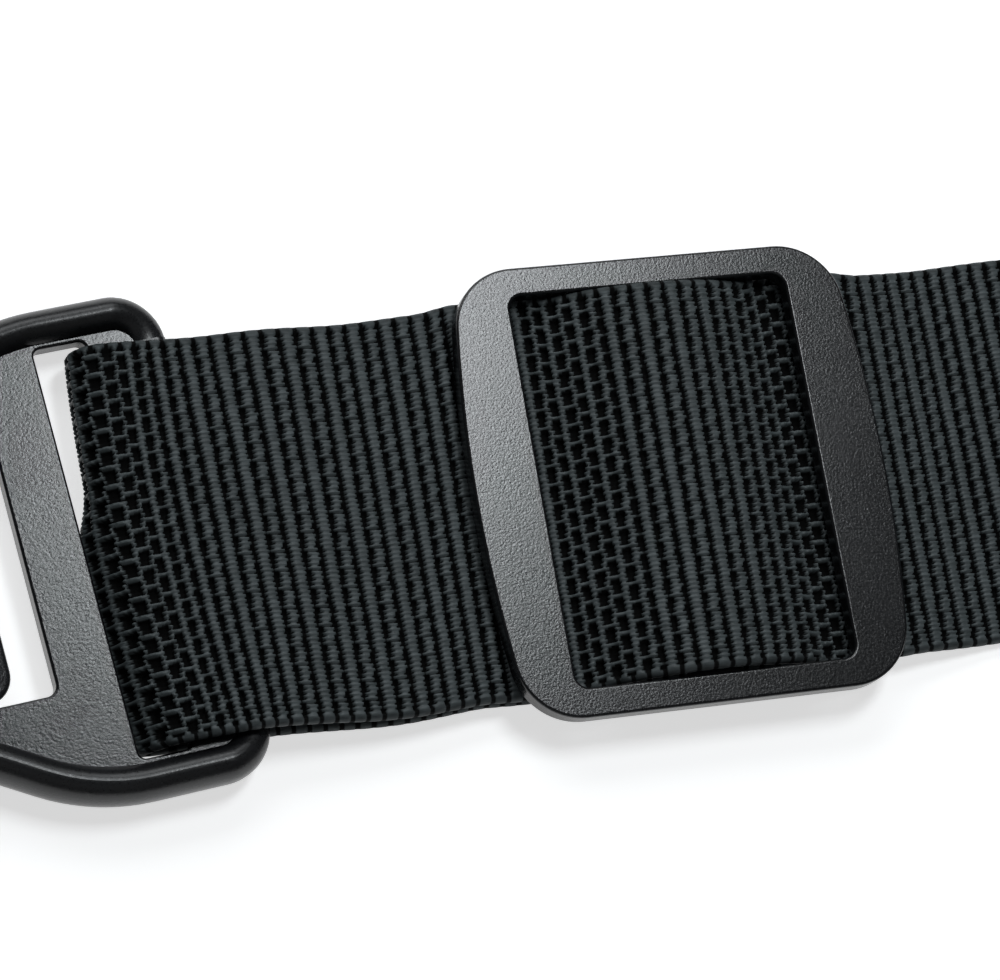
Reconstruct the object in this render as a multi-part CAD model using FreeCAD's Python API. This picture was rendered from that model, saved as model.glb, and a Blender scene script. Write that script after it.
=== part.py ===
"""Dive weight belt: nylon webbing, a quick-release cam buckle at one end and a three-bar keeper.

Millimetres. The belt lies flat with its outer face up, and its spare length is rolled up.
+X runs along the belt from the buckle to the roll, +Y across it and +Z up from the surface.
The origin is on the underside of the free run, on the belt's centre line.
"""
import FreeCAD, Part
import math
import os

V = FreeCAD.Vector

# Webbing
WEB_WIDTH = 50.0
WEB_THICK = 2.0
BELT_LENGTH = 1400.0
LAYER_GAP = 0.1                     # air between two layers that lie on each other
SEAM_GAP = 0.7                      # between webbing on the keeper and the webbing on the surface
CUT_PAST = 1.0                      # how far a cut runs past the faces it opens

# Keeper: a flat three-bar slide
KEEPER_X = -60.0
KEEPER_SKEW = -1.2                  # degrees in plan
KEEPER_HALF_LENGTH = 26.9           # at the middle of its bowed side bars
KEEPER_HALF_WIDTH = 28.8
KEEPER_BOW_RADIUS = 180.0
KEEPER_CORNER_RADIUS = 8.2
KEEPER_THICK = 2.7
KEEPER_EDGE_RADIUS = 0.35
WINDOW_HALF_LENGTH = 18.3
WINDOW_HALF_WIDTH = 25.15
WINDOW_CORNER_RADIUS = 1.8
CENTRE_BAR_HALF = 3.6
CENTRE_BAR_DROP = 0.5               # its top is this much under the frame's top
CENTRE_BAR_LIFT = 0.1               # and its underside this much over the frame's
CENTRE_BAR_EDGE_RADIUS = 1.0

# How the upper layer climbs over the centre bar. The returned layer stays flat under the keeper.
BRIDGE_SLOPE = 26.0                 # degrees, between the foot's bend and the one over the bar
BRIDGE_FOOT_X = 15.8                # where the slope would meet the level stretch
BRIDGE_RADIUS = 26.7                # over the bar
BRIDGE_FOOT_RADIUS = 10.0           # beside the side bars
TAIL_END = 24.5                     # from the keeper's centre

# Buckle, in its own plan frame: x = 0 on the end bar's middle, and the cam end is towards -x
BAR_X = -124.3
BAR_Y = 1.1
BUCKLE_SKEW = 5.0                   # degrees in plan
BUCKLE_HALF_WIDTH = 30.8
BUCKLE_END = 5.5                    # the end bar's outer edge
BUCKLE_CAM_END = -90.0
BUCKLE_CORNER_RADIUS = 6.5
RAIL_HALF_WIDTH = 2.35
RAIL_HEIGHT = 7.0
PLATE_BOTTOM = 2.3
PLATE_TOP = 5.0
END_BAR_HALF = 4.6
END_BAR_BOTTOM = 2.3
END_BAR_TOP = 5.5
END_BAR_EDGE_RADIUS = 1.3
SLOT_HALF_WIDTH = 25.8
SLOT_A = (-11.0, -4.5)
WINDOW_B = (-36.5, -18.5)
WINDOW_B_HALF = 16.0
SLOT_C = (-70.5, -58.0)
SLOT_CORNER_RADIUS = 0.9
WINDOW_B_CORNER_RADIUS = 1.4
SHOULDER_X = -10.0                  # where the sides start to bend in
SHOULDER_RADIUS = 27.0
NECK_ANGLE = 31.0                   # degrees to the buckle's axis
NECK_STRAIGHT = 4.0                 # along the axis, between the shoulder's arc and the neck's
NECK_RADIUS = 20.0
SLOT_EDGE_RADIUS = 0.35
CORNER_SECTIONS = 6                 # ovals that each rail end is lofted through

# Cam lever and its pin
PIN_X = -74.0
PIN_Z = 11.0
PIN_RADIUS = 1.5
PIN_CLEARANCE = 0.05
PIN_END = 0.2                       # how far it stands out of each ear
PIN_CHAMFER = 0.3
HUB_RADIUS = 3.9
CAM_RADIUS = 3.7
CAM_OFFSET = (0.5, -1.7)
CAM_TOOTH_PITCH = 12.0              # degrees round the cam
CAM_TOOTH_COUNT = 7
CAM_TOOTH_DEPTH = 0.5
LEVER_HALF_WIDTH = 25.2
LEVER_THICK = 3.2
LEVER_TAPER = (-64.0, -44.0)        # where the lever narrows from the cam to the nose
NOSE_HALF_WIDTH = 15.4
NOSE_X = -23.2
LEVER_TOP = [(-74.0, 14.9), (-64.0, 14.0), (-47.0, 11.1), (-37.0, 9.0), (-28.0, 5.7), (NOSE_X, 4.7)]
LEVER_TOP_RADII = [30.0, 40.0, 22.0, 9.0]
LEVER_TAPER_RADIUS = 12.0
LEVER_EDGE_RADIUS = 0.7
NOSE_CORNER_RADIUS = 3.5
GRIP_RIB_COUNT = 5
GRIP_RIB_RADIUS = 0.8
GRIP_RIB_SINK = 0.3                 # of each rib's axis under the lever's face
GRIP_RIB_END_RADIUS = 0.6
GRIP_RIB_SPAN = (0.1, 0.9)          # share of the sloping stretch that the ribs cover
GRIP_RIB_INSET = 4.0                # from the nose's sides
PANEL_DEPTH = 0.4
PANEL_HALF_LENGTH = 5.0
PANEL_HALF_WIDTH = 15.0
PANEL_CORNER_RADIUS = 2.0
EAR_INNER = 25.6
EAR_HALF_LENGTH = 6.0
EAR_TOP_RADIUS = 4.4
EAR_EDGE_RADIUS = 0.8

# Roll of spare webbing, and the flex line where the buckle swings
ROLL_X = 60.0
ROLL_PITCH = 2.3
ROLL_INNER_RADIUS = 9.5
FREE_RUN_END = 45.0
FREE_RUN_LEVEL = 3.5                # length that stays level past the keeper's side bar
FREE_RUN_FOOT = 15.0                # where it reaches the surface, from the same place
FREE_RUN_RADII = [9.0, 25.0]
FLEX_X = BAR_X + 9.5
FLEX_GAP = 0.3
FOLD_X = BAR_X - 5.0                # centre of the turn round the end bar
FOLD_SKEW = 2.5                     # degrees in plan: the webbing follows the bar's skew half way
FOLD_Y = 0.6                        # and its place along the bar half way too
FOLD_GAP = 0.3                      # between the end bar and the webbing on it
UPPER_RUN_LEVEL = (2.0, 7.0)        # lengths that stay level beside the buckle and the keeper
UPPER_RUN_RADII = [10.0, 40.0]

LOW_Z = WEB_THICK / 2
FOLD_Z = END_BAR_TOP + FOLD_GAP + WEB_THICK / 2
HIGH_Z = LOW_Z + WEB_THICK + LAYER_GAP
KEEPER_BOTTOM = HIGH_Z + WEB_THICK / 2 + 0.2
KEEPER_TOP = KEEPER_BOTTOM + KEEPER_THICK
SIDE_BAR_MID = (KEEPER_HALF_LENGTH + WINDOW_HALF_LENGTH) / 2


def unit(angle):
    return V(math.cos(angle), 0, math.sin(angle))


def rounded_path(points, radii):
    """Centre line through points in the XZ plane, each inner corner rounded to its radius.

    Returns a list of ("line", start, end) and ("arc", centre, radius, start angle, sweep)."""
    path = []
    at = points[0]
    for before, corner, after, radius in zip(points, points[1:], points[2:], radii):
        into = (corner - before).normalize()
        out = (after - corner).normalize()
        turn = math.atan2(into.x * out.z - into.z * out.x, into.dot(out))
        reach = radius * math.tan(abs(turn) / 2)
        start = corner - into * reach
        left = V(-into.z, 0, into.x)
        side = 1 if turn > 0 else -1
        centre = start + left * (radius * side)
        spoke = start - centre
        path.append(("line", at, start))
        path.append(("arc", centre, radius, math.atan2(spoke.z, spoke.x), turn))
        at = corner + out * reach
    path.append(("line", at, points[-1]))
    return path


def offset_edges(path, offset):
    """The path's edges moved to its left by offset, as one chain of edges."""
    edges = []
    for piece in path:
        if piece[0] == "line":
            start, end = piece[1], piece[2]
            along = (end - start).normalize()
            shift = V(-along.z, 0, along.x) * offset
            edges.append(Part.LineSegment(start + shift, end + shift).toShape())
        else:
            centre, radius, angle, sweep = piece[1:]
            reach = radius - offset if sweep > 0 else radius + offset
            stops = [centre + unit(angle + sweep * share) * reach for share in (0, 0.5, 1)]
            edges.append(Part.Arc(*stops).toShape())
    return edges


def path_length(path):
    total = 0
    for piece in path:
        if piece[0] == "line":
            total += (piece[2] - piece[1]).Length
        else:
            total += piece[2] * abs(piece[4])
    return total


def strap(path):
    """A solid length of webbing along a centre line in the XZ plane."""
    left = offset_edges(path, WEB_THICK / 2)
    right = offset_edges(path, -WEB_THICK / 2)
    caps = []
    for end in (0, -1):
        corners = [chain[end].Vertexes[end].Point for chain in (left, right)]
        caps.append(Part.LineSegment(*corners).toShape())
    wire = Part.Wire(Part.__sortEdges__(left + right + caps))
    solid = Part.Face(wire).extrude(V(0, WEB_WIDTH, 0))
    solid.translate(V(0, -WEB_WIDTH / 2, 0))
    return solid


def bridge_path():
    """Centre line of the upper layer over the keeper's centre bar, from side bar to side bar."""
    peak = HIGH_Z + BRIDGE_FOOT_X * math.tan(math.radians(BRIDGE_SLOPE))
    points = [
        V(-SIDE_BAR_MID, 0, HIGH_Z),
        V(-BRIDGE_FOOT_X, 0, HIGH_Z),
        V(0, 0, peak),
        V(BRIDGE_FOOT_X, 0, HIGH_Z),
        V(SIDE_BAR_MID, 0, HIGH_Z),
    ]
    return rounded_path(points, [BRIDGE_FOOT_RADIUS, BRIDGE_RADIUS, BRIDGE_FOOT_RADIUS])


def bridge():
    return on_keeper(strap(bridge_path()))


def on_keeper(shape):
    shape.rotate(V(0, 0, 0), V(0, 0, 1), KEEPER_SKEW)
    shape.translate(V(KEEPER_X, 0, 0))
    return shape


def upper_left_run():
    """From the flex line beside the end bar down to the keeper's left bar."""
    end_x = KEEPER_X - SIDE_BAR_MID - SEAM_GAP
    points = [
        V(FLEX_X, 0, FOLD_Z),
        V(FLEX_X + UPPER_RUN_LEVEL[0], 0, FOLD_Z),
        V(end_x - UPPER_RUN_LEVEL[1], 0, HIGH_Z),
        V(end_x, 0, HIGH_Z),
    ]
    return strap(rounded_path(points, UPPER_RUN_RADII))


def tail_path():
    """The returned layer, flat on the surface from the flex line to its end under the keeper."""
    return [("line", V(FLEX_X, 0, LOW_Z), V(KEEPER_X + TAIL_END, 0, LOW_Z))]


def fold():
    """The turn of webbing round the buckle's end bar, which swings with the buckle."""
    radius = (FOLD_Z - LOW_Z) / 2
    start_x = FLEX_X + WEB_WIDTH * math.sin(math.radians(FOLD_SKEW))
    path = [
        ("line", V(start_x, 0, FOLD_Z), V(FOLD_X, 0, FOLD_Z)),
        ("arc", V(FOLD_X, 0, LOW_Z + radius), radius, math.pi / 2, math.pi),
        ("line", V(FOLD_X, 0, LOW_Z), V(start_x, 0, LOW_Z)),
    ]
    turned = strap(path)
    turned.rotate(V(BAR_X, 0, 0), V(0, 0, 1), FOLD_SKEW)
    turned.translate(V(0, FOLD_Y, 0))
    beyond = Part.makeBox(WEB_WIDTH, 2 * WEB_WIDTH, WEB_WIDTH, V(FLEX_X - FLEX_GAP, -WEB_WIDTH, -1))
    return turned.cut(beyond)


def free_run_path():
    """From the keeper's right bar down to the surface."""
    start_x = KEEPER_X + SIDE_BAR_MID + SEAM_GAP
    points = [
        V(start_x, 0, HIGH_Z),
        V(start_x + FREE_RUN_LEVEL, 0, HIGH_Z),
        V(start_x + FREE_RUN_FOOT, 0, LOW_Z),
        V(FREE_RUN_END, 0, LOW_Z),
    ]
    return rounded_path(points, FREE_RUN_RADII)


def roll_path(length):
    """A flat lead-in and half turns whose radius shrinks until the length is used up."""
    start = V(FREE_RUN_END, 0, LOW_Z)
    foot = V(ROLL_X, 0, LOW_Z)
    path = [("line", start, foot)]
    left = length - (foot - start).Length
    outer = math.sqrt(left * ROLL_PITCH / math.pi + ROLL_INNER_RADIUS ** 2)
    radius = outer
    centre_z = LOW_Z + radius
    angle = -math.pi / 2
    while left > 0:
        sweep = min(math.pi, left / radius)
        path.append(("arc", V(ROLL_X, 0, centre_z), radius, angle, sweep))
        left -= radius * math.pi
        rising = angle < 0
        radius -= ROLL_PITCH / 2
        centre_z += ROLL_PITCH / 2 if rising else -ROLL_PITCH / 2
        angle = math.pi / 2 if rising else -math.pi / 2
    return path


def roll():
    threaded = path_length(bridge_path()) + path_length(tail_path()) + path_length(free_run_path())
    upper_side = KEEPER_X - SIDE_BAR_MID - FOLD_X
    round_bar = FLEX_X - FOLD_X + math.pi * (FOLD_Z - LOW_Z) / 2
    return strap(roll_path(BELT_LENGTH - threaded - upper_side - round_bar))


def prism(wire, low, high):
    solid = Part.Face(wire).extrude(V(0, 0, high - low))
    solid.translate(V(0, 0, low))
    return solid


def rounded_box(x_range, half_width, low, high, radius):
    """An upright box with its four vertical edges rounded."""
    box = Part.makeBox(x_range[1] - x_range[0], 2 * half_width, high - low,
                       V(x_range[0], -half_width, low))
    upright = [e for e in box.Edges if abs(e.tangentAt(e.FirstParameter).z) > 0.9]
    return box.makeFillet(radius, upright)


def bar_along_y(x_middle, half, low, high, half_width, radius):
    """A flat bar across the belt with rounded long edges."""
    bar = Part.makeBox(2 * half, 2 * half_width, high - low, V(x_middle - half, -half_width, low))
    long_edges = [e for e in bar.Edges if abs(e.tangentAt(e.FirstParameter).y) > 0.9]
    return bar.makeFillet(radius, long_edges)


def keeper():
    """Flat frame with bowed side bars and rounded edges, and the centre bar across its window."""
    half, wide = KEEPER_HALF_LENGTH, KEEPER_HALF_WIDTH
    sag = KEEPER_BOW_RADIUS - math.sqrt(KEEPER_BOW_RADIUS ** 2 - wide ** 2)
    edges = []
    for side in (1, -1):
        low = V(side * (half - sag), -side * wide, 0)
        high = V(side * (half - sag), side * wide, 0)
        edges.append(Part.Arc(low, V(side * half, 0, 0), high).toShape())
        edges.append(Part.LineSegment(high, V(-high.x, high.y, 0)).toShape())
    plate = prism(Part.Wire(Part.__sortEdges__(edges)), KEEPER_BOTTOM, KEEPER_TOP)
    upright = [e for e in plate.Edges if abs(e.tangentAt(e.FirstParameter).z) > 0.9]
    plate = plate.makeFillet(KEEPER_CORNER_RADIUS, upright)
    window = rounded_box((-WINDOW_HALF_LENGTH, WINDOW_HALF_LENGTH), WINDOW_HALF_WIDTH,
                         KEEPER_BOTTOM - CUT_PAST, KEEPER_TOP + CUT_PAST, WINDOW_CORNER_RADIUS)
    plate = plate.cut(window)
    rims = [e for e in plate.Edges if abs(e.BoundBox.ZLength) < 0.01]
    plate = plate.makeFillet(KEEPER_EDGE_RADIUS, rims)
    centre_bar = bar_along_y(0, CENTRE_BAR_HALF, KEEPER_BOTTOM + CENTRE_BAR_LIFT,
                             KEEPER_TOP - CENTRE_BAR_DROP, WINDOW_HALF_WIDTH + CUT_PAST,
                             CENTRE_BAR_EDGE_RADIUS)
    return on_keeper(plate.fuse(centre_bar).removeSplitter())


def side_edges(inset):
    """The buckle's side for y > 0, from the end bar's corner to the cam end's corner.

    It runs straight, bends in to the neck at NECK_ANGLE and comes out again the same way."""
    wide = BUCKLE_HALF_WIDTH - inset
    angle = math.radians(NECK_ANGLE)
    bend = SHOULDER_RADIUS - inset
    neck = NECK_RADIUS + inset
    shoulder = V(SHOULDER_X, wide, 0)
    bend_middle = shoulder + V(-bend * math.sin(angle / 2), bend * (math.cos(angle / 2) - 1), 0)
    bend_end = shoulder + V(-bend * math.sin(angle), bend * (math.cos(angle) - 1), 0)
    neck_start = bend_end + V(-NECK_STRAIGHT, -NECK_STRAIGHT * math.tan(angle), 0)
    neck_middle = neck_start + V(-neck * math.sin(angle), neck * (math.cos(angle) - 1), 0)
    half = [
        Part.LineSegment(V(BUCKLE_END - BUCKLE_CORNER_RADIUS, wide, 0), shoulder).toShape(),
        Part.Arc(shoulder, bend_middle, bend_end).toShape(),
        Part.LineSegment(bend_end, neck_start).toShape(),
    ]
    twins = [edge.mirror(neck_middle, V(1, 0, 0)) for edge in half[1:]]
    neck_end = V(2 * neck_middle.x - neck_start.x, neck_start.y, 0)
    cam_shoulder = V(2 * neck_middle.x - SHOULDER_X, wide, 0)
    cam_corner = V(BUCKLE_CAM_END + BUCKLE_CORNER_RADIUS, wide, 0)
    rest = [Part.LineSegment(cam_shoulder, cam_corner).toShape()]
    return half + [Part.Arc(neck_start, neck_middle, neck_end).toShape()] + twins + rest


def corner_arc(x, inward, inset):
    """Plan quarter circle at a corner of the buckle. inward points from the end to its middle."""
    radius = BUCKLE_CORNER_RADIUS - inset
    centre = V(x + inward * BUCKLE_CORNER_RADIUS, BUCKLE_HALF_WIDTH - BUCKLE_CORNER_RADIUS, 0)
    diagonal = V(-inward, 1, 0).normalize()
    return Part.Arc(centre + V(0, radius, 0), centre + diagonal * radius,
                    centre + V(-inward * radius, 0, 0)).toShape()


def buckle_outline(inset):
    """The whole closed outline of the buckle, moved in by inset."""
    upper = side_edges(inset)
    upper.append(corner_arc(BUCKLE_END, -1, inset))
    upper.append(corner_arc(BUCKLE_CAM_END, 1, inset))
    lower = [edge.mirror(V(0, 0, 0), V(0, 1, 0)) for edge in upper]
    reach = BUCKLE_HALF_WIDTH - BUCKLE_CORNER_RADIUS
    ends = []
    for x in (BUCKLE_END - inset, BUCKLE_CAM_END + inset):
        ends.append(Part.LineSegment(V(x, -reach, 0), V(x, reach, 0)).toShape())
    return Part.Wire(Part.__sortEdges__(upper + lower + ends))


def oval(centre, across, half_height):
    """An upright elliptical section whose width lies along across."""
    along = V(across.x, across.y, 0).normalize()
    if half_height > RAIL_HALF_WIDTH:
        rim = Part.Ellipse(centre + V(0, 0, half_height), centre + along * RAIL_HALF_WIDTH, centre)
    else:
        rim = Part.Ellipse(centre + along * RAIL_HALF_WIDTH, centre + V(0, 0, half_height), centre)
    return Part.Wire([rim.toShape()])


def side_rail():
    """The round rail along one side, full height."""
    path = Part.Wire(Part.__sortEdges__(side_edges(RAIL_HALF_WIDTH)))
    start = V(BUCKLE_END - BUCKLE_CORNER_RADIUS, BUCKLE_HALF_WIDTH - RAIL_HALF_WIDTH, RAIL_HEIGHT / 2)
    path.translate(V(0, 0, RAIL_HEIGHT / 2))
    return path.makePipeShell([oval(start, V(0, 1, 0), RAIL_HEIGHT / 2)], True, False)


def rail_corner(x, inward):
    """The rail's end, which turns the corner and sinks to the cross bar's thickness."""
    radius = BUCKLE_CORNER_RADIUS - RAIL_HALF_WIDTH
    centre = V(x + inward * BUCKLE_CORNER_RADIUS, BUCKLE_HALF_WIDTH - BUCKLE_CORNER_RADIUS, 0)
    low_height = (END_BAR_TOP - END_BAR_BOTTOM) / 2
    low_middle = (END_BAR_TOP + END_BAR_BOTTOM) / 2
    sections = []
    for step in range(CORNER_SECTIONS):
        share = step / (CORNER_SECTIONS - 1)
        turn = share * math.pi / 2
        sink = share * share * (3 - 2 * share)
        across = V(-inward * math.sin(turn), math.cos(turn), 0)
        middle = RAIL_HEIGHT / 2 * (1 - sink) + low_middle * sink
        half_height = RAIL_HEIGHT / 2 * (1 - sink) + low_height * sink
        sections.append(oval(centre + across * radius + V(0, 0, middle), across, half_height))
    return Part.makeLoft(sections, True, False)


def both_sides(shape):
    return [shape, shape.mirror(V(0, 0, 0), V(0, 1, 0))]


def ear():
    """The upright ear that holds one end of the lever's pin, rising out of the rail."""
    wide = BUCKLE_HALF_WIDTH - EAR_INNER
    corners = [
        V(PIN_X - EAR_HALF_LENGTH, EAR_INNER, PLATE_BOTTOM),
        V(PIN_X - EAR_HALF_LENGTH, EAR_INNER, RAIL_HEIGHT),
        V(PIN_X - EAR_TOP_RADIUS, EAR_INNER, PIN_Z),
        V(PIN_X + EAR_TOP_RADIUS, EAR_INNER, PIN_Z),
        V(PIN_X + EAR_HALF_LENGTH, EAR_INNER, RAIL_HEIGHT),
        V(PIN_X + EAR_HALF_LENGTH, EAR_INNER, PLATE_BOTTOM),
    ]
    side = Part.Face(Part.makePolygon(corners + corners[:1]))
    top = Part.makeCylinder(EAR_TOP_RADIUS, wide, V(PIN_X, EAR_INNER, PIN_Z), V(0, 1, 0))
    solid = side.extrude(V(0, wide, 0)).fuse(top).removeSplitter()
    outer = [e for e in solid.Edges if abs(e.BoundBox.YMin - EAR_INNER - wide) < 0.01]
    return solid.makeFillet(EAR_EDGE_RADIUS, [e for e in outer if e.BoundBox.ZMax > RAIL_HEIGHT])


def in_buckle(shape):
    """Moves a shape from the buckle's plan frame to its place on the belt."""
    shape.rotate(V(0, 0, 0), V(0, 0, 1), BUCKLE_SKEW)
    shape.translate(V(BAR_X, BAR_Y, 0))
    return shape


def slotted_plate():
    """The flat plate between the rails, with its two slots and the window, their edges rounded."""
    plate = prism(buckle_outline(RAIL_HALF_WIDTH), PLATE_BOTTOM, PLATE_TOP)
    holes = [
        (SLOT_A, SLOT_HALF_WIDTH, SLOT_CORNER_RADIUS),
        (WINDOW_B, WINDOW_B_HALF, WINDOW_B_CORNER_RADIUS),
        (SLOT_C, SLOT_HALF_WIDTH, SLOT_CORNER_RADIUS),
    ]
    for x_range, half_width, radius in holes:
        hole = rounded_box(x_range, half_width, PLATE_BOTTOM - CUT_PAST, PLATE_TOP + CUT_PAST, radius)
        plate = plate.cut(hole)
    rims = []
    for face in plate.Faces:
        if abs(face.normalAt(0, 0).z) > 0.9:
            inner = [wire for wire in face.Wires if wire.BoundBox.YMax < SLOT_HALF_WIDTH + 0.1]
            rims += [edge for wire in inner for edge in wire.Edges]
    return plate.makeFillet(SLOT_EDGE_RADIUS, rims)


def end_bar(low_x, high_x):
    half = (high_x - low_x) / 2
    reach = BUCKLE_HALF_WIDTH - BUCKLE_CORNER_RADIUS
    return bar_along_y(low_x + half, half, END_BAR_BOTTOM, END_BAR_TOP, reach, END_BAR_EDGE_RADIUS)


def buckle_frame():
    """Slotted plate between round side rails, with a bar at each end and ears for the pin."""
    solids = both_sides(side_rail()) + both_sides(ear())
    for x, inward in ((BUCKLE_END, -1), (BUCKLE_CAM_END, 1)):
        solids += both_sides(rail_corner(x, inward))
    solids.append(end_bar(-END_BAR_HALF, BUCKLE_END))
    solids.append(end_bar(BUCKLE_CAM_END, BUCKLE_CAM_END + 2 * END_BAR_HALF))
    frame = slotted_plate().multiFuse(solids).removeSplitter()
    hole_start = V(PIN_X, -2 * BUCKLE_HALF_WIDTH, PIN_Z)
    hole = Part.makeCylinder(PIN_RADIUS, 4 * BUCKLE_HALF_WIDTH, hole_start, V(0, 1, 0))
    return in_buckle(frame.cut(hole))


def lever_arm():
    """The lever's curved plate, cut to its plan outline."""
    top = [V(x, 0, z) for x, z in LEVER_TOP]
    path = rounded_path(top, LEVER_TOP_RADII)
    upper = offset_edges(path, 0)
    lower = offset_edges(path, -LEVER_THICK)
    caps = []
    for side in (0, -1):
        ends = [chain[side].Vertexes[side].Point for chain in (upper, lower)]
        caps.append(Part.LineSegment(*ends).toShape())
    profile = Part.Face(Part.Wire(Part.__sortEdges__(upper + lower + caps)))
    slab = profile.extrude(V(0, 2 * LEVER_HALF_WIDTH, 0))
    slab.translate(V(0, -LEVER_HALF_WIDTH, 0))
    start, end = LEVER_TAPER
    plan = [
        V(PIN_X - 1, -LEVER_HALF_WIDTH, 0),
        V(start, -LEVER_HALF_WIDTH, 0),
        V(end, -NOSE_HALF_WIDTH, 0),
        V(NOSE_X + 1, -NOSE_HALF_WIDTH, 0),
        V(NOSE_X + 1, NOSE_HALF_WIDTH, 0),
        V(end, NOSE_HALF_WIDTH, 0),
        V(start, LEVER_HALF_WIDTH, 0),
        V(PIN_X - 1, LEVER_HALF_WIDTH, 0),
    ]
    outline = prism(Part.makePolygon(plan + plan[:1]), 0, 2 * PIN_Z)
    upright = [e for e in outline.Edges if abs(e.tangentAt(e.FirstParameter).z) > 0.9]
    bends = [e for e in upright if start - 1 < e.CenterOfMass.x < end + 1]
    arm = slab.common(outline.makeFillet(LEVER_TAPER_RADIUS, bends))
    at_nose = [e for e in arm.Edges if abs(e.CenterOfMass.x - NOSE_X) < 0.5]
    nose = [e for e in at_nose if abs(e.CenterOfMass.y) > NOSE_HALF_WIDTH / 2]
    arm = arm.makeFillet(NOSE_CORNER_RADIUS, nose)
    rims = [e for e in arm.Edges if e.CenterOfMass.x > PIN_X + PIN_RADIUS]
    return arm.makeFillet(LEVER_EDGE_RADIUS, rims)


def along_lever(segment, share):
    """A point on one straight stretch of the lever's top, and the stretch's slope in degrees."""
    start, end = LEVER_TOP[segment], LEVER_TOP[segment + 1]
    x = start[0] + (end[0] - start[0]) * share
    z = start[1] + (end[1] - start[1]) * share
    slope = math.degrees(math.atan2(end[1] - start[1], end[0] - start[0]))
    return V(x, 0, z), slope


def toothed_cam():
    """Cylinder beside the pin's axis, with grooves between the teeth on its underside."""
    centre = V(PIN_X + CAM_OFFSET[0], -LEVER_HALF_WIDTH, PIN_Z + CAM_OFFSET[1])
    cam = Part.makeCylinder(CAM_RADIUS, 2 * LEVER_HALF_WIDTH, centre, V(0, 1, 0))
    for tooth in range(CAM_TOOTH_COUNT):
        turn = (tooth - (CAM_TOOTH_COUNT - 1) / 2) * CAM_TOOTH_PITCH
        foot = centre + unit(math.radians(turn - 90)) * CAM_RADIUS
        cam = cam.cut(Part.makeCylinder(CAM_TOOTH_DEPTH / 2, 2 * LEVER_HALF_WIDTH, foot, V(0, 1, 0)))
    return cam


def grip_rib(share):
    place = along_lever(2, share)[0]
    reach = NOSE_HALF_WIDTH - GRIP_RIB_INSET
    rib = Part.makeCylinder(GRIP_RIB_RADIUS, 2 * reach, place - V(0, reach, GRIP_RIB_SINK), V(0, 1, 0))
    ends = [e for e in rib.Edges if e.Curve.TypeId == "Part::GeomCircle"]
    return rib.makeFillet(GRIP_RIB_END_RADIUS, ends)


def cam_lever():
    """Lever with a toothed cam at its hub, grip ribs and a shallow panel on its face."""
    across = V(0, 1, 0)
    hub_start = V(PIN_X, -LEVER_HALF_WIDTH, PIN_Z)
    hub = Part.makeCylinder(HUB_RADIUS, 2 * LEVER_HALF_WIDTH, hub_start, across)
    lever = lever_arm().multiFuse([hub, toothed_cam()])
    panel, slope = along_lever(1, 0.5)
    recess = rounded_box((-PANEL_HALF_LENGTH, PANEL_HALF_LENGTH), PANEL_HALF_WIDTH,
                         -PANEL_DEPTH, LEVER_THICK, PANEL_CORNER_RADIUS)
    recess.rotate(V(0, 0, 0), across, -slope)
    recess.translate(panel)
    lever = lever.cut(recess)
    first, last = GRIP_RIB_SPAN
    step = (last - first) / (GRIP_RIB_COUNT - 1)
    ribs = [grip_rib(first + step * rib) for rib in range(GRIP_RIB_COUNT)]
    lever = lever.multiFuse(ribs).removeSplitter()
    bore_start = V(PIN_X, -2 * LEVER_HALF_WIDTH, PIN_Z)
    bore = Part.makeCylinder(PIN_RADIUS + PIN_CLEARANCE, 4 * LEVER_HALF_WIDTH, bore_start, across)
    return in_buckle(lever.cut(bore))


def hinge_pin():
    """Steel pin through both ears, its ends chamfered."""
    reach = BUCKLE_HALF_WIDTH + PIN_END
    pin = Part.makeCylinder(PIN_RADIUS, 2 * reach, V(PIN_X, -reach, PIN_Z), V(0, 1, 0))
    rims = [e for e in pin.Edges if e.Curve.TypeId == "Part::GeomCircle"]
    return in_buckle(pin.makeChamfer(PIN_CHAMFER, rims))


if __name__ == "__main__":
    os.makedirs("parts", exist_ok=True)
    nodes = {
        "buckle_frame": buckle_frame(),
        "cam_lever": cam_lever(),
        "hinge_pin": hinge_pin(),
        "keeper": keeper(),
        "webbing_over_keeper_bar": bridge(),
        "webbing_upper_run": upper_left_run(),
        "webbing_tail_run": strap(tail_path()),
        "webbing_fold": fold(),
        "webbing_free_run": strap(free_run_path()),
        "webbing_roll": roll(),
    }
    for name, shape in nodes.items():
        print(name, shape.isValid(), len(shape.Solids), round(shape.Volume, 1), shape.BoundBox)
        shape.exportStep("parts/" + name + ".step")
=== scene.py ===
"""Looks of the dive weight belt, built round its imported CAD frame.

The webbing's lengths are in millimetres until its mesh is made. Materials, lights and the
camera use metres.
"""
import math

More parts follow.
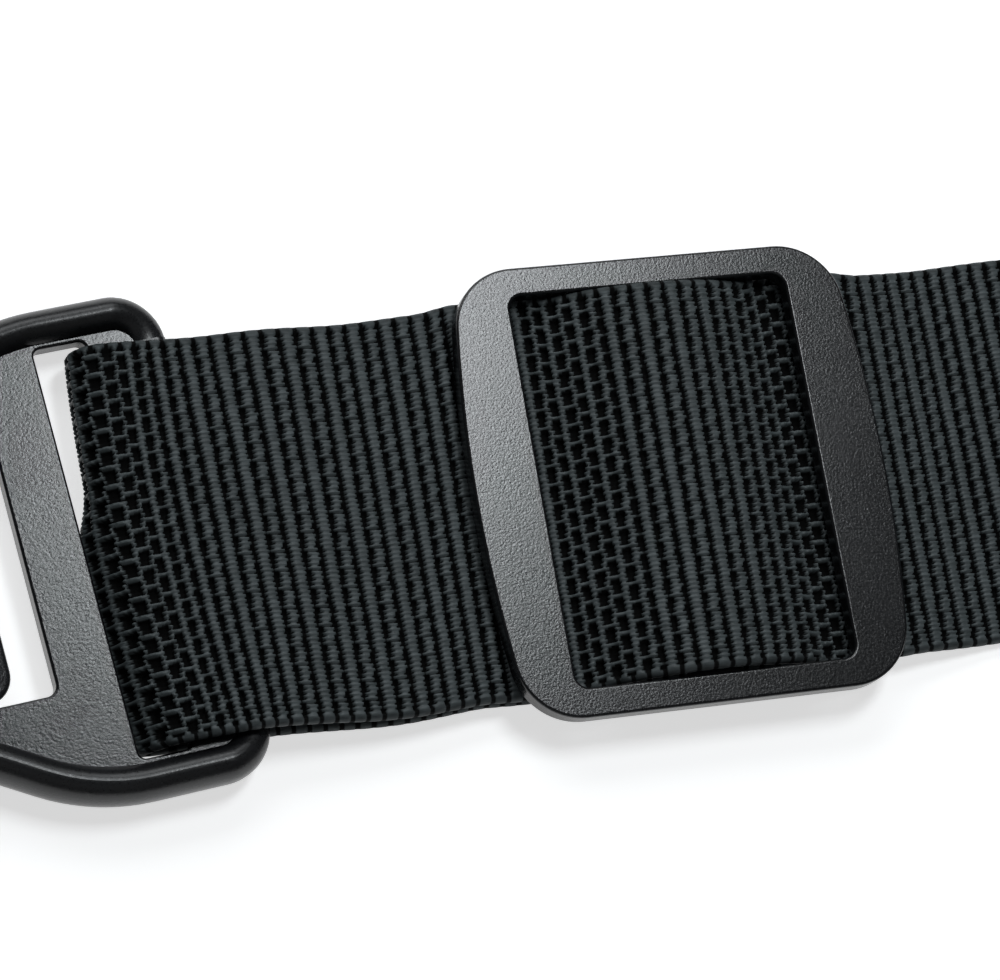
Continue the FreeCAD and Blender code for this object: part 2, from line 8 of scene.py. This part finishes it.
import bpy
import numpy as np
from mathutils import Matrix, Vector


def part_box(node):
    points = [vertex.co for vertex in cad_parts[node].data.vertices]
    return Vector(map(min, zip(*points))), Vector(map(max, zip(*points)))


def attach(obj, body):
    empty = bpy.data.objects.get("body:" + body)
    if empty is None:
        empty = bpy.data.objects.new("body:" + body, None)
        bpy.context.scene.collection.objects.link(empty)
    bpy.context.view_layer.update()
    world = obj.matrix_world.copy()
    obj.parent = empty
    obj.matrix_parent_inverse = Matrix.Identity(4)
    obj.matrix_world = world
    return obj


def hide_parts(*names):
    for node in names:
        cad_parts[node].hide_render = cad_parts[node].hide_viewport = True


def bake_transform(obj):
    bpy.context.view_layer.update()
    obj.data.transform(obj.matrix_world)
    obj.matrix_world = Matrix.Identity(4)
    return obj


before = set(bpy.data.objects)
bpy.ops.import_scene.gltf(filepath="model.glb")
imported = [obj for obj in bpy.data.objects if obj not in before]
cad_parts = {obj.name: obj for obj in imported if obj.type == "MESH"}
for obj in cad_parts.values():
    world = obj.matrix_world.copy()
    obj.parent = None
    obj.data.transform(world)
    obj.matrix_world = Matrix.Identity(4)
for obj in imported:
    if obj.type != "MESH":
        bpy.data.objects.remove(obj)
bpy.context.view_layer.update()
MM = 0.001


def box_mm(node):
    low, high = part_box(node)
    return np.array(low) / MM, np.array(high) / MM


# ---- places, from the frame ----
KEEPER_LOW, KEEPER_HIGH = box_mm("keeper")
KEEPER_X = (KEEPER_LOW[0] + KEEPER_HIGH[0]) / 2
TAIL_LOW, TAIL_HIGH = box_mm("webbing_tail_run")
UPPER_LOW, UPPER_HIGH = box_mm("webbing_upper_run")
ROLL_HIGH = box_mm("webbing_roll")[1]
FLEX_X = TAIL_LOW[0]
WIDTH = TAIL_HIGH[1] - TAIL_LOW[1]
THICK = TAIL_HIGH[2] - TAIL_LOW[2]
LOW_Z = THICK / 2
HIGH_Z = UPPER_LOW[2] + THICK / 2
FOLD_Z = UPPER_HIGH[2] - THICK / 2

# ---- the route of the webbing's centre line ----
# It is the CAD's, but the upper run starts down sooner and is level for less before the keeper.
BAR_TO_FLEX = 9.5
BAR_TO_FOLD = 5.0
BAR_X = FLEX_X - BAR_TO_FLEX
FOLD_X = BAR_X - BAR_TO_FOLD
SIDE_BAR_MID = 22.6
SEAM_GAP = 0.7
BRIDGE_SLOPE = math.radians(26.0)
BRIDGE_FOOT_X = 15.8
BRIDGE_RADII = [10.0, 26.7, 10.0]
TAIL_END = 24.5
UPPER_LEVEL = (4.5, 4.0)    # lengths that stay level past the end bar and before the keeper
UPPER_RADII = [12.0, 40.0]
FREE_LEVEL = 3.5
FREE_FOOT = 15.0
FREE_RADII = [9.0, 25.0]
ROLL_X = 60.0
ROLL_PITCH = 2.3
ROLL_INNER = 9.5
FOLD_SKEW = math.radians(2.5)
FOLD_Y = 0.6
KEEPER_SKEW = math.radians(-1.2)

# ---- the weave ----
RIB = 2.12                  # from one gap between ribs to the next
YARN = 0.587                # from one lengthwise yarn to the next
YARNS = int(WIDTH / YARN)
# half widths, shifts and depths of a gap: rows are even and odd gaps, columns the four yarns of a block
GAP_HALF = np.array([[0.13, 0.20, 0.25, 0.30], [0.16, 0.20, 0.23, 0.25]])
GAP_SHIFT = np.array([[-0.06, 0.0, 0.06, 0.12], [0.05, 0.01, -0.04, -0.08]])
GAP_DEPTH = np.array([[0.50, 0.84, 0.90, 0.94], [0.55, 0.84, 0.88, 0.88]])
GAP_SOFT = 0.18
TOOTH = 0.26                # how much wider a gap is between two yarns than on a yarn
GAP_JITTER = 0.03           # spread of the gaps' half widths
GAP_WANDER = 0.04           # and of their places
CROWN = 0.16                # how much a rib falls away from its crest to the gap
RIDGE = 0.12                # depth of the line between two yarns
UNEVEN = 0.02               # spread of the yarns' heights
RIM_SHARE = 0.7             # how much of the rib's own shape goes where the gap begins
SEAM = 0.20                 # depth of the line between two blocks of a rib
SELVEDGE = 0.9              # width of the rounded edge
EDGE_DROOP = 0.30           # how much thinner the webbing is at its edges, as a share
INNER_GAP_DEPTH = 0.15      # of the gaps on the inner face
# where along a rib's pitch the mesh has its rows
FINE_PHASES = [0.0, 0.06, 0.11, 0.15, 0.19, 0.235, 0.30, 0.40,
               0.5, 0.60, 0.70, 0.765, 0.81, 0.85, 0.89, 0.94]
COARSE_PHASES = [0.0, 0.1, 0.22, 0.5, 0.78, 0.9]

rng = np.random.default_rng(11)
DRAWS = 1024
JITTER = rng.normal(0.0, 1.0, (YARNS + 4, DRAWS))
LOFT = rng.normal(0.0, 1.0, (YARNS + 4, DRAWS))


def smooth(low, high, x):
    t = np.clip((x - low) / (high - low), 0, 1)
    return t * t * (3 - 2 * t)


class Route:
    """A centre line in the XZ plane made of straight runs and arcs, read by the distance along it."""

    def __init__(self, start):
        self.pieces = []
        self.stops = [0.0]
        self.at = np.array(start, float)

    def add(self, piece, length, end):
        self.pieces.append(piece)
        self.stops.append(self.stops[-1] + length)
        self.at = np.array(end, float)

    def line(self, end):
        end = np.array(end, float)
        way = end - self.at
        length = np.hypot(*way)
        self.add(("line", self.at, way / length), length, end)
        return self.stops[-1]

    def arc(self, centre, radius, angle, sweep):
        end = np.array(centre) + radius * np.array([math.cos(angle + sweep), math.sin(angle + sweep)])
        self.add(("arc", np.array(centre, float), radius, angle, sweep), radius * abs(sweep), end)
        return self.stops[-1]

    def through(self, points, radii):
        """Runs on through points, each corner rounded. Gives the distance reached."""
        points = [self.at] + [np.array(p, float) for p in points]
        for corner, after, radius in zip(points[1:], points[2:], radii):
            into = (corner - self.at) / np.hypot(*(corner - self.at))
            out = (after - corner) / np.hypot(*(after - corner))
            turn = math.atan2(into[0] * out[1] - into[1] * out[0], into @ out)
            reach = radius * math.tan(abs(turn) / 2)
            start = corner - into * reach
            side = 1 if turn > 0 else -1
            centre = start + np.array([-into[1], into[0]]) * radius * side
            spoke = start - centre
            self.line(start)
            self.arc(centre, radius, math.atan2(spoke[1], spoke[0]), turn)
        return self.line(points[-1])

    def read(self, s):
        """Positions and left normals at the distances s."""
        place = np.zeros((len(s), 2))
        normal = np.zeros((len(s), 2))
        index = np.clip(np.searchsorted(self.stops, s, side="right") - 1, 0, len(self.pieces) - 1)
        for number, piece in enumerate(self.pieces):
            here = index == number
            far = (s - self.stops[number])[here]
            if piece[0] == "line":
                place[here] = piece[1] + far[:, None] * piece[2]
                normal[here] = [-piece[2][1], piece[2][0]]
            else:
                centre, radius, angle, sweep = piece[1:]
                turn = angle + math.copysign(1, sweep) * far / radius
                spoke = np.stack([np.cos(turn), np.sin(turn)], axis=1)
                place[here] = centre + radius * spoke
                normal[here] = -math.copysign(1, sweep) * spoke
        return place, normal


def bridge_points():
    """Corners over the keeper's centre bar, from its left foot to its right one."""
    peak = HIGH_Z + BRIDGE_FOOT_X * math.tan(BRIDGE_SLOPE)
    return [(KEEPER_X - BRIDGE_FOOT_X, HIGH_Z), (KEEPER_X, peak), (KEEPER_X + BRIDGE_FOOT_X, HIGH_Z)]


FLEX_TO_SPLIT = 7.0
SPLIT_X = FLEX_X + FLEX_TO_SPLIT    # where the fold's strip ends and the next begins
UNDER_BAR_X = KEEPER_X + SIDE_BAR_MID
LEAD_END_X = 6.0            # where the strip out of the keeper ends

route = Route((KEEPER_X + TAIL_END, LOW_Z))
S_TAIL = route.line((SPLIT_X, LOW_Z))
route.line((FOLD_X, LOW_Z))
turn_radius = (FOLD_Z - LOW_Z) / 2
route.arc((FOLD_X, LOW_Z + turn_radius), turn_radius, -math.pi / 2, -math.pi)
upper_end = KEEPER_X - SIDE_BAR_MID - SEAM_GAP
upper_points = [(BAR_X + UPPER_LEVEL[0], FOLD_Z), (upper_end - UPPER_LEVEL[1], HIGH_Z)]
free_start = UNDER_BAR_X + SEAM_GAP
free_points = [(free_start + FREE_LEVEL, HIGH_Z), (free_start + FREE_FOOT, LOW_Z), (ROLL_X, LOW_Z)]
route.through(upper_points + bridge_points() + free_points, UPPER_RADII + BRIDGE_RADII + FREE_RADII)
outer = (ROLL_HIGH[2] - THICK / 2 - LOW_Z) / 2
left = (outer ** 2 - ROLL_INNER ** 2) * math.pi / ROLL_PITCH
radius, centre_z, angle = outer, LOW_Z + outer, -math.pi / 2
while left > 0:
    route.arc((ROLL_X, centre_z), radius, angle, min(math.pi, left / radius))
    left -= radius * math.pi
    radius -= ROLL_PITCH / 2
    centre_z += ROLL_PITCH / 2 if angle < 0 else -ROLL_PITCH / 2
    angle = -angle


def distance_at(x, low, high):
    """The distance along the route where it passes x, between the distances low and high."""
    s = np.linspace(low, high, 20001)
    place = route.read(s)[0]
    return float(s[np.argmin(np.abs(place[:, 0] - x))])


S_BEND = S_TAIL + SPLIT_X - FOLD_X + math.pi * turn_radius
S_FOLD_TOP = distance_at(SPLIT_X, S_BEND, S_BEND + 40)
S_UNDER_BAR = distance_at(UNDER_BAR_X, S_FOLD_TOP, S_FOLD_TOP + 100)
S_LEAD_END = distance_at(LEAD_END_X, S_UNDER_BAR, S_UNDER_BAR + 60)
S_END = route.stops[-1]
S_CLIMB = distance_at(KEEPER_X - 12, S_FOLD_TOP, S_UNDER_BAR)

# where ribs crowd together and the gaps between them open: (middle, reach, share of the pitch, opening)
CROWDING = [
    (S_BEND, 18.0, 0.2, 0.0),
    (S_BEND - 1, 13.0, 0.0, 1.0),
    (S_BEND - 1, 6.0, 0.0, 0.8),
    (S_CLIMB, 10.0, 0.12, 1.2),
    (S_CLIMB + 29, 15.0, 0.0, 1.2),
    (S_CLIMB + 31, 7.0, 0.1, 0.8),
]
TABLE_STEP = 0.05
S_TABLE = np.arange(0, S_END + 1, TABLE_STEP)
CROWD_TABLE = np.zeros(len(S_TABLE))
OPEN_TABLE = np.zeros(len(S_TABLE))
for crowd_middle, crowd_reach, crowd_share, opening in CROWDING:
    near = 1 - smooth(0, crowd_reach, np.abs(S_TABLE - crowd_middle))
    CROWD_TABLE += crowd_share * near
    OPEN_TABLE += opening * near
RIB_TABLE = np.concatenate([[0], np.cumsum(TABLE_STEP / RIB / (1 - CROWD_TABLE[1:]))])

# ---- how the webbing lies in plan ----
UNDERLIP = 3.2              # how far the fold's lower layer slips out under the buckle's plate
UNDERLIP_BACK = math.pi * turn_radius - 1.5
UNDERLIP_REACH = 3.0
BOW = 1.3                   # how far the fold's ends trail behind its middle
BOW_MIDDLE = 2.0
BOW_OFFSET = 0.5
PINCH = 0.9                 # how far the upper edge pulls in beside the end bar
PINCH_BACK = 6.0
PINCH_REACH = 8.0
SPREAD_UPPER = 0.028        # widening of each half in the keeper's window, as a share
SPREAD_LOWER = 0.012
KEEPER_SHIFT = 0.15


def plan(x, w, s):
    """Plan position of the point w across the webbing at x, at the distance s along the route.

    The webbing lies askew at the buckle and in the keeper."""
    fold = FOLD_SKEW * (1 - smooth(BAR_X + 1, BAR_X + 24, x))
    beyond = smooth(KEEPER_X + 24, KEEPER_X + 50, x)
    slide = KEEPER_SKEW * smooth(KEEPER_X - 40, KEEPER_X - 24, x) * (1 - beyond)
    turn = fold + slide
    bow = BOW * ((w - BOW_MIDDLE) / (WIDTH / 2)) ** 2 - BOW_OFFSET
    slack = bow * (1 - smooth(BAR_X - 3, BAR_X + 10, x))
    lip = np.exp(-((s - S_BEND + UNDERLIP_BACK) / UNDERLIP_REACH) ** 2)
    slack = slack - UNDERLIP * lip * (1 - smooth(0, 9, w))
    spread = smooth(12, 16, np.abs(x - KEEPER_X)) * (1 - smooth(24, 30, np.abs(x - KEEPER_X)))
    w = w * (1 + np.where(w > 0, SPREAD_UPPER, SPREAD_LOWER) * spread)
    w = w - PINCH * smooth(-5, 25, w) * np.exp(-((x - BAR_X - PINCH_BACK) / PINCH_REACH) ** 2)
    shift = (x - BAR_X) * np.sin(fold) + (x - KEEPER_X) * np.sin(slide) + FOLD_Y * fold / FOLD_SKEW
    shift = shift + KEEPER_SHIFT * slide / KEEPER_SKEW
    return x - w * np.sin(turn) + slack, w * np.cos(turn) + shift


def rib_number(s):
    return np.interp(s, S_TABLE, RIB_TABLE)


def weave(s, w):
    """How far the outer face lies under the ribs' crests, and how dark each point is, from 0 to 1:
    painted shade in the gaps, on the lines between yarns and in the seams.
    """
    number = rib_number(s)
    gap = np.rint(number).astype(int)
    u = (number - gap) * RIB
    across = w / YARN + YARNS / 2
    yarn = np.floor(across).astype(int)
    t = across - yarn - 0.5
    odd = gap % 2
    kind = (yarn + 2 * odd) % 4
    row = np.clip(yarn, 0, YARNS + 3)
    opened = np.interp(s, S_TABLE, OPEN_TABLE)
    half = GAP_HALF[odd, kind] * (1 + opened) + GAP_JITTER * JITTER[row, gap % DRAWS]
    half = half + TOOTH * np.abs(2 * t) ** 2
    off = np.abs(u - GAP_SHIFT[odd, kind] - GAP_WANDER * LOFT[row, gap % DRAWS])
    edge = 1 - smooth(half - GAP_SOFT, half + GAP_SOFT, off)
    crown = CROWN * (1 - np.abs(2 * u / RIB)) ** 2
    ridge = RIDGE * np.abs(2 * t) ** 2
    uneven = UNEVEN * (1 + np.tanh(JITTER[row, (gap + 7) % DRAWS]))
    blocked = np.floor(number).astype(int) % 2 == 0
    seam = np.where(blocked & (yarn % 4 == 0), np.clip(-2 * t, 0, 1) ** 2, 0)
    deep = GAP_DEPTH[odd, kind] * edge * np.where(kind == 0, 1 - 0.7 * opened, 1)
    drop = (crown + ridge + uneven + SEAM * seam) * (1 - RIM_SHARE * edge) + deep
    # painted shade: the gaps, the lines between yarns and the seams between blocks are made darker in
    # colour
    dark = (deep - 0.12) / 0.38 + 0.42 * np.abs(2 * t) ** 3 + 0.45 * seam
    return drop, np.clip(dark, 0, 1)


def plain_ribs(s):
    """The same for ribs without their single yarns, on inner faces and on the roll."""
    number = rib_number(s)
    u = (number - np.rint(number)) * RIB
    edge = 1 - smooth(0.16, 0.40, np.abs(u))
    crown = CROWN * (1 - np.abs(2 * u / RIB)) ** 2
    return INNER_GAP_DEPTH * edge + crown * (1 - RIM_SHARE * edge), edge


def strip(name, start, end, phases, yarn_samples, inner_columns):
    """A closed length of webbing from start to end along the route, with its weave in the mesh.

    With no yarn_samples it has plain ribs."""
    first, last = math.floor(rib_number(start)), math.ceil(rib_number(end))
    numbers = (np.arange(first, last + 1)[:, None] + np.array(phases)[None, :]).ravel()
    s = np.interp(numbers, RIB_TABLE, S_TABLE)
    s = np.concatenate([[start], s[(s > start + 0.03) & (s < end - 0.03)], [end]])
    flat_half = WIDTH / 2 - SELVEDGE
    if yarn_samples:
        count = int(2 * flat_half / YARN * yarn_samples)
        grid = np.arange(-count // 2 - 2, count // 2 + 3) / yarn_samples * YARN
        grid = grid + (YARNS % 2) * YARN / 2
        top_w = grid[np.abs(grid) < flat_half]
    else:
        top_w = np.linspace(-flat_half, flat_half, 45)
    bottom_w = np.linspace(flat_half, -flat_half, inner_columns)
    turn = np.radians([70, 42, 14, -14, -42, -70])
    thin = 1 - EDGE_DROOP * np.exp(np.abs(top_w) - WIDTH / 2)
    thin_bottom = 1 - EDGE_DROOP * np.exp(np.abs(bottom_w) - WIDTH / 2)
    if yarn_samples:
        drop, painted_pit_shade = weave(s[:, None], top_w[None, :])
    else:
        drop, painted_pit_shade = plain_ribs(s[:, None] + 0 * top_w[None, :])
    drop_inner, inner_gap_shade = plain_ribs(s)
    half = THICK / 2
    rows = len(s)
    side_half = half * 0.92 - 0.7 * drop_inner[:, None]
    side_reach = SELVEDGE - 0.2 * drop_inner[:, None]
    right_w = flat_half + side_reach * np.cos(turn)
    right_h = side_half * np.sin(turn)
    top = np.broadcast_to(top_w, (rows, len(top_w)))
    bottom = np.broadcast_to(bottom_w, (rows, len(bottom_w)))
    w = np.concatenate([top, right_w, bottom, -right_w[:, ::-1]], axis=1)
    inner_h = -(half * thin_bottom - drop_inner[:, None])
    h = np.concatenate([half * thin - drop, right_h, inner_h, right_h[:, ::-1]], axis=1)
    # painted shade: the rounded edges are darkened all along and more at the gaps; the inner face is
    # darkened at its gaps
    painted_side_shade = np.repeat(0.3 + inner_gap_shade[:, None] * 0.6, len(turn), axis=1)
    painted_inner_shade = np.repeat(inner_gap_shade[:, None], len(bottom_w), axis=1)
    deep = np.concatenate([painted_pit_shade, painted_side_shade, painted_inner_shade, painted_side_shade], axis=1)
    place, normal = route.read(s)
    x = place[:, :1] + normal[:, :1] * h
    z = place[:, 1:] + normal[:, 1:] * h
    px, py = plan(place[:, :1] + 0 * w, w, s[:, None])
    x = x + (px - place[:, :1])
    verts = np.stack([x, py, z], axis=2).reshape(-1, 3) * MM
    ring = w.shape[1]
    i = np.arange(rows - 1)[:, None] * ring
    r = np.arange(ring)[None, :]
    nxt = (r + 1) % ring
    quads = np.stack([i + r, i + ring + r, i + ring + nxt, i + nxt], axis=2).reshape(-1, 4)
    faces = quads.tolist() + [list(range(ring)), list(range((rows - 1) * ring, rows * ring))[::-1]]
    mesh = bpy.data.meshes.new(name)
    mesh.from_pydata(verts.tolist(), [], faces)
    mesh.shade_smooth()
    cloth = np.stack([np.broadcast_to(s[:, None], w.shape), w, 0 * w], axis=2).astype(np.float32)
    mesh.attributes.new("cloth", "FLOAT_VECTOR", "POINT").data.foreach_set("vector", cloth.ravel())
    # the painted shade goes to the nylon as a point attribute
    shade_attribute = mesh.attributes.new("painted_pit_shade", "FLOAT", "POINT")
    shade_attribute.data.foreach_set("value", deep.astype(np.float32).ravel())
    piece = bpy.data.objects.new(name, mesh)
    bpy.context.scene.collection.objects.link(piece)
    piece.data.materials.append(NYLON)
    print(name, len(mesh.polygons))
    return piece


# ---- materials ----
class Shader:
    """A node material, with short calls for adding nodes and links."""

    def __init__(self, name):
        self.material = bpy.data.materials.new(name)
        self.material.use_nodes = True
        self.tree = self.material.node_tree
        self.surface = self.tree.nodes["Principled BSDF"]

    def node(self, kind, inputs=None, **settings):
        new = self.tree.nodes.new("ShaderNode" + kind)
        for key, value in settings.items():
            setattr(new, key, value)
        for key, value in (inputs or {}).items():
            self.put(new.inputs[key], value)
        return new

    def put(self, socket, value):
        if isinstance(value, bpy.types.NodeSocket):
            self.tree.links.new(value, socket)
        else:
            socket.default_value = value

    def math(self, operation, a, b=0.0):
        return self.node("Math", {0: a, 1: b}, operation=operation).outputs[0]

    def ramp(self, value, stops):
        """stops are (position, colour or grey)."""
        ramp = self.node("ValToRGB", {0: value})
        elements = ramp.color_ramp.elements
        while len(elements) < len(stops):
            elements.new(0.5)
        for element, (position, colour) in zip(elements, stops):
            element.position = position
            element.color = (*colour, 1) if isinstance(colour, tuple) else (colour, colour, colour, 1)
        return ramp.outputs[0]

    def mix(self, share, a, b, blend="MIX"):
        new = self.node("Mix", data_type="RGBA", blend_type=blend)
        self.put(new.inputs[0], share)
        self.put(new.inputs[6], a)
        self.put(new.inputs[7], b)
        return new.outputs[2]

    def noise(self, vector, scale, detail=2.0, rough=0.5):
        inputs = {"Vector": vector, "Scale": scale, "Detail": detail, "Roughness": rough}
        return self.node("TexNoise", inputs).outputs[0]

    def finish(self, **inputs):
        for key, value in inputs.items():
            self.put(self.surface.inputs[key.replace("_", " ")], value)
        return self.material


def nylon():
    """Black nylon: crests of filament yarn, with painted shade that takes the gaps to black."""
    m = Shader("webbing_nylon")
    cloth = m.node("Attribute", attribute_name="cloth").outputs["Vector"]
    painted_pit_shade = m.node("Attribute", attribute_name="painted_pit_shade").outputs["Fac"]
    along = m.node("Mapping", {"Vector": cloth, "Scale": (0.5, 9.0, 1.0)}).outputs[0]
    filaments = m.noise(along, 1.0, 3.0, 0.6)
    patch = m.noise(cloth, 0.09, 2.0)
    blocks = m.node("Mapping", {"Vector": cloth, "Scale": (0.47, 1.7, 1.0)}).outputs[0]
    floats = m.noise(blocks, 1.0, 1.0)
    crest = m.ramp(floats, [(0.3, (0.044, 0.053, 0.055)), (0.7, (0.085, 0.100, 0.104))])
    crest = m.mix(0.35, crest, m.ramp(filaments, [(0.3, 0.35), (0.7, 0.8)]), "OVERLAY")
    crest = m.mix(0.25, crest, m.ramp(patch, [(0.3, 0.4), (0.7, 0.65)]), "OVERLAY")
    pit_shade_mask = m.ramp(painted_pit_shade, [(0.1, 0.0), (0.75, 1.0)])
    # painted shade: the crest colour goes to near black where the painted pit shade is high
    colour = m.mix(pit_shade_mask, crest, (0.0004, 0.0005, 0.0005, 1))
    ridge_phase = m.node("SeparateXYZ", {0: cloth}).outputs[1]
    ridge_phase = m.math("PINGPONG", m.math("ADD", m.math("DIVIDE", ridge_phase, YARN), YARNS / 2), 0.5)
    ridges = m.math("POWER", m.math("MULTIPLY", ridge_phase, 2.0), 0.4)
    height = m.math("ADD", m.math("MULTIPLY", ridges, 0.6), m.math("MULTIPLY", filaments, 0.5))
    bump = m.node("Bump", {"Strength": 0.5, "Distance": 0.00004, "Height": height}).outputs[0]
    rough = m.math("ADD", m.math("MULTIPLY", filaments, 0.16), 0.38)
    rough = m.math("ADD", rough, m.math("MULTIPLY", pit_shade_mask, 0.6))
    return m.finish(Base_Color=colour, Roughness=rough, Normal=bump, Specular_IOR_Level=0.22)


def moulded(name, dark, light, rails_above=None):
    """Black moulded plastic with a spark-eroded grain.

    Above the height rails_above the grain is weaker and the surface duller."""
    m = Shader(name)
    place = m.node("TexCoord").outputs["Object"]
    grain = m.noise(place, 3700.0, 2.0, 0.7)
    coarse = m.noise(place, 900.0, 2.0, 0.6)
    cloud = m.noise(place, 60.0, 3.0, 0.6)
    speck = m.node("TexVoronoi", {"Vector": place, "Scale": 2600.0}).outputs["Distance"]
    colour = m.mix(m.ramp(cloud, [(0.3, 0.0), (0.7, 1.0)]), (*dark, 1), (*light, 1))
    colour = m.mix(0.5, colour, m.ramp(grain, [(0.35, 0.25), (0.68, 0.78)]), "OVERLAY")
    height = m.math("ADD", m.math("MULTIPLY", grain, 0.9), m.math("MULTIPLY", coarse, 0.15))
    height = m.math("ADD", height, m.math("MULTIPLY", speck, 0.3))
    strength = 1.0
    rough = m.math("ADD", m.math("MULTIPLY", grain, 0.30), 0.05)
    if rails_above is not None:
        up = m.node("SeparateXYZ", {0: place}).outputs[2]
        stops = {"Value": up, "From Min": rails_above, "From Max": rails_above + 0.0004}
        rail = m.node("MapRange", stops).outputs[0]
        strength = m.math("SUBTRACT", 1.0, m.math("MULTIPLY", rail, 0.6))
        rough = m.math("ADD", rough, m.math("MULTIPLY", rail, 0.12))
    bump = m.node("Bump", {"Strength": strength, "Distance": 0.000022, "Height": height}).outputs[0]
    return m.finish(Base_Color=colour, Roughness=rough, Normal=bump)


def ground_steel():
    """Steel pin, ground round its axis."""
    m = Shader("pin_steel")
    place = m.node("TexCoord").outputs["Object"]
    along = m.node("Mapping", {"Vector": place, "Scale": (300.0, 9000.0, 300.0)}).outputs[0]
    rings = m.noise(along, 1.0, 2.0)
    stain = m.noise(place, 900.0, 3.0)
    colour = m.ramp(stain, [(0.3, (0.42, 0.42, 0.43)), (0.7, (0.62, 0.62, 0.63))])
    bump = m.node("Bump", {"Strength": 0.3, "Distance": 0.00001, "Height": rings}).outputs[0]
    rough = m.math("ADD", m.math("MULTIPLY", stain, 0.2), 0.2)
    return m.finish(Base_Color=colour, Roughness=rough, Metallic=1.0, Normal=bump)


NYLON = nylon()
PLATE_TOP_M = 0.0051
BLACK = ((0.005, 0.0053, 0.0060), (0.011, 0.0115, 0.0128))      # darkest and lightest
node_looks = {
    "buckle_frame": moulded("buckle_plastic", *BLACK, PLATE_TOP_M),
    "keeper": moulded("keeper_plastic", *BLACK),
    "cam_lever": moulded("lever_plastic", (0.010, 0.0105, 0.012), (0.018, 0.019, 0.021)),
    "hinge_pin": ground_steel(),
}
for node, material in node_looks.items():
    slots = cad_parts[node].data.materials
    slots.clear()
    slots.append(material)


# ---- the webbing ----
fold = strip("webbing_round_end_bar", S_TAIL, S_FOLD_TOP, FINE_PHASES, 3, 24)
upper = strip("webbing_through_keeper", S_FOLD_TOP, S_UNDER_BAR, FINE_PHASES, 3, 24)
tail = strip("webbing_returned_end", 0.0, S_TAIL, COARSE_PHASES, 2, 24)
lead = strip("webbing_out_of_keeper", S_UNDER_BAR, S_LEAD_END, FINE_PHASES, 3, 24)
coil = strip("webbing_rolled_length", S_LEAD_END, S_END, COARSE_PHASES, 0, 12)

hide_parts("webbing_fold")
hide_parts("webbing_upper_run", "webbing_over_keeper_bar")
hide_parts("webbing_tail_run")
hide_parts("webbing_free_run")
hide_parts("webbing_roll")

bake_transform(fold)
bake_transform(upper)
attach(tail, "belt")
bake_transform(lead)
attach(coil, "belt")


# ---- stage, light and camera ----
FLOOR_Z = -0.0001           # clear of the webbing's underside


def pale_floor():
    mesh = bpy.data.meshes.new("floor")
    reach = 3.0
    corners = [(-reach, -reach, 0), (reach, -reach, 0), (reach, reach, 0), (-reach, reach, 0)]
    mesh.from_pydata(corners, [], [(0, 1, 2, 3)])
    floor = bpy.data.objects.new("floor", mesh)
    floor.location.z = FLOOR_Z
    m = Shader("floor_paper")
    tone = m.noise(m.node("TexCoord").outputs["Object"], 6.0, 2.0)
    paper = m.ramp(tone, [(0.3, 0.86), (0.7, 0.9)])
    glow = {"Emission_Color": (1, 1, 1, 1), "Emission_Strength": 0.62}
    mesh.materials.append(m.finish(Base_Color=paper, Roughness=0.9, **glow))
    bpy.context.scene.collection.objects.link(floor)


def softbox(name, place, target, size, power, tint=(1, 1, 1)):
    light = bpy.data.lights.new(name, "AREA")
    light.shape = "RECTANGLE"
    light.size, light.size_y = size
    light.energy = power
    light.color = tint
    lamp = bpy.data.objects.new(name, light)
    lamp.location = place
    lamp.rotation_euler = (Vector(target) - Vector(place)).to_track_quat("-Z", "Y").to_euler()
    bpy.context.scene.collection.objects.link(lamp)


pale_floor()
middle = (KEEPER_X * MM, 0, 0)
softbox("key", (0.048, 0.190, 0.55), middle, (0.115, 0.190), 1.15, (0.93, 0.975, 1.0))
softbox("fill", (-0.25, -0.85, 0.95), middle, (1.2, 0.9), 0.4)
softbox("back", (-0.2, 0.95, 0.75), middle, (1.2, 0.5), 5.5, (0.95, 0.98, 1.0))
scene = bpy.context.scene
scene.world = bpy.data.worlds.new("room")
scene.world.use_nodes = True
scene.world.node_tree.nodes["Background"].inputs[0].default_value = (0.95, 0.97, 1.0, 1)
scene.world.node_tree.nodes["Background"].inputs[1].default_value = 0.06
scene.view_settings.view_transform = "Standard"

CAMERA_LENS = 151.31        # focal length and sensor width, in millimetres
CAMERA_SENSOR = 36.0
CAMERA_PLACE = (-0.23368, -0.11742, 0.48412)
CAMERA_TURN = (16.4378, -14.5788, -11.2268)     # in degrees
lens = bpy.data.cameras.new("camera")
lens.lens = CAMERA_LENS
lens.sensor_width = CAMERA_SENSOR
lens.clip_start = 0.01
camera = bpy.data.objects.new("camera", lens)
camera.location = CAMERA_PLACE
camera.rotation_euler = [math.radians(a) for a in CAMERA_TURN]
bpy.context.scene.collection.objects.link(camera)
scene.camera = camera
